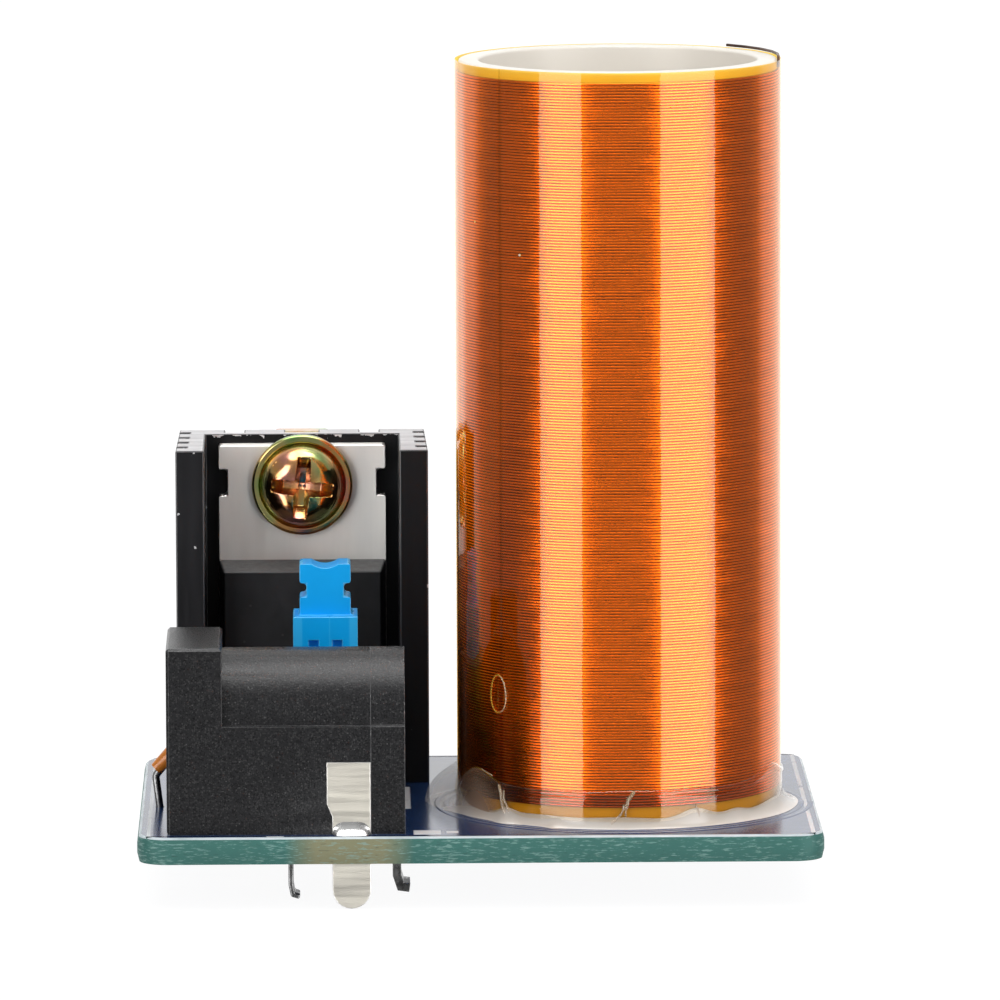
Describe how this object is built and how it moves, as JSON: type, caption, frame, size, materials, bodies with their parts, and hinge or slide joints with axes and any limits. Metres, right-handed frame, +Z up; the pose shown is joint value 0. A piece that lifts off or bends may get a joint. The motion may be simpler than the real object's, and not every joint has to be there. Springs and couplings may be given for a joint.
{
  "type": "desktop resonant transformer",
  "caption": "Small air-cored resonant transformer: a wound tube upright on a circuit board with its heatsink-cooled driver, power socket and push switch.",
  "frame": {"origin": "on the tube's axis at the board's top face, where the tube stands", "axes": "+X to the right along the board's length, +Y to the back, +Z up along the tube"},
  "size_m": [0.0402, 0.0323, 0.0491],
  "materials": {
    "solder_mask": "glossy blue solder mask over glass-fibre laminate",
    "copper_print": "printed copper under the solder mask",
    "tube_plastic": "smooth off-white extruded plastic",
    "enamelled_wire": "enamelled copper wire, orange-brown",
    "amber_film": "clear amber film",
    "hot_glue": "milky hot-melt glue",
    "black_anodised": "black anodised extrusion with raw sawn ends",
    "tab_metal": "satin tinned copper tab",
    "black_moulding": "fine-textured black moulding",
    "yellow_zinc": "yellow passivated zinc on steel",
    "tinned_metal": "tinned contact metal",
    "blue_button": "semi-gloss azure plastic",
    "spring_steel": "drawn spring wire",
    "resistor_coat": "beige lacquer with colour bands",
    "diode_glass": "small glass body",
    "capacitor_coat": "dipped orange-brown coating",
    "solder": "bright solder"
  },
  "bodies": {
    "base": {"circuit_board": "solder_mask", "primary_spiral": "copper_print", "coil_former": "tube_plastic", "secondary_winding": "enamelled_wire", "wrap_film": "amber_film", "winding_top_tail": "enamelled_wire", "winding_base_lead": "enamelled_wire", "glue_bead": "hot_glue", "heatsink": "black_anodised", "transistor_tab": "tab_metal", "transistor_case": "black_moulding", "transistor_leads": "tinned_metal", "heatsink_screw": "yellow_zinc", "heatsink_nut": "yellow_zinc", "jack_housing": "black_moulding", "jack_rear_cap": "black_moulding", "jack_center_pin": "tinned_metal", "jack_pin_terminal": "tinned_metal", "jack_sleeve_terminal": "tinned_metal", "jack_side_terminal": "tinned_metal", "switch_base": "black_moulding", "switch_cover": "black_moulding", "switch_return_spring": "spring_steel", "switch_pins": "tinned_metal", "resistor_body": "resistor_coat", "resistor_leads": "tinned_metal", "diode_body": "diode_glass", "diode_leads": "tinned_metal", "capacitor_body": "capacitor_coat", "capacitor_leads": "tinned_metal", "solder_joints": "solder"},
    "button": {"switch_button": "blue_button", "switch_sliders": "tinned_metal"},
    "latch": {"switch_latch_wire": "spring_steel"},
    "sleeve_contact": {"jack_sleeve_spring": "tinned_metal"}
  },
  "joints": [
    {"name": "button_press", "type": "slide", "parent": "base", "child": "button", "axis": [0, 0, -1], "range_m": [0, 0.0022], "stiffness_N_per_m": 600, "springref_m": -0.001, "deforming": ["switch_return_spring"]},
    {"name": "latch_swing", "type": "hinge", "parent": "base", "child": "latch", "pos_m": [-0.0174, 0.00505, 0.0012], "axis": [0, 1, 0], "range_deg": [-8, 0]},
    {"name": "sleeve_contact_flex", "type": "hinge", "parent": "base", "child": "sleeve_contact", "pos_m": [-0.0193, -0.00644, 0.0026], "axis": [0, 1, 0], "range_deg": [0, 9], "stiffness_Nm_per_rad": 0.06, "springref_deg": -5.73}
  ],
  "couplings": [
    {"joint": "latch_swing", "follows": "button_press", "rad_per_m": -54}
  ]
}
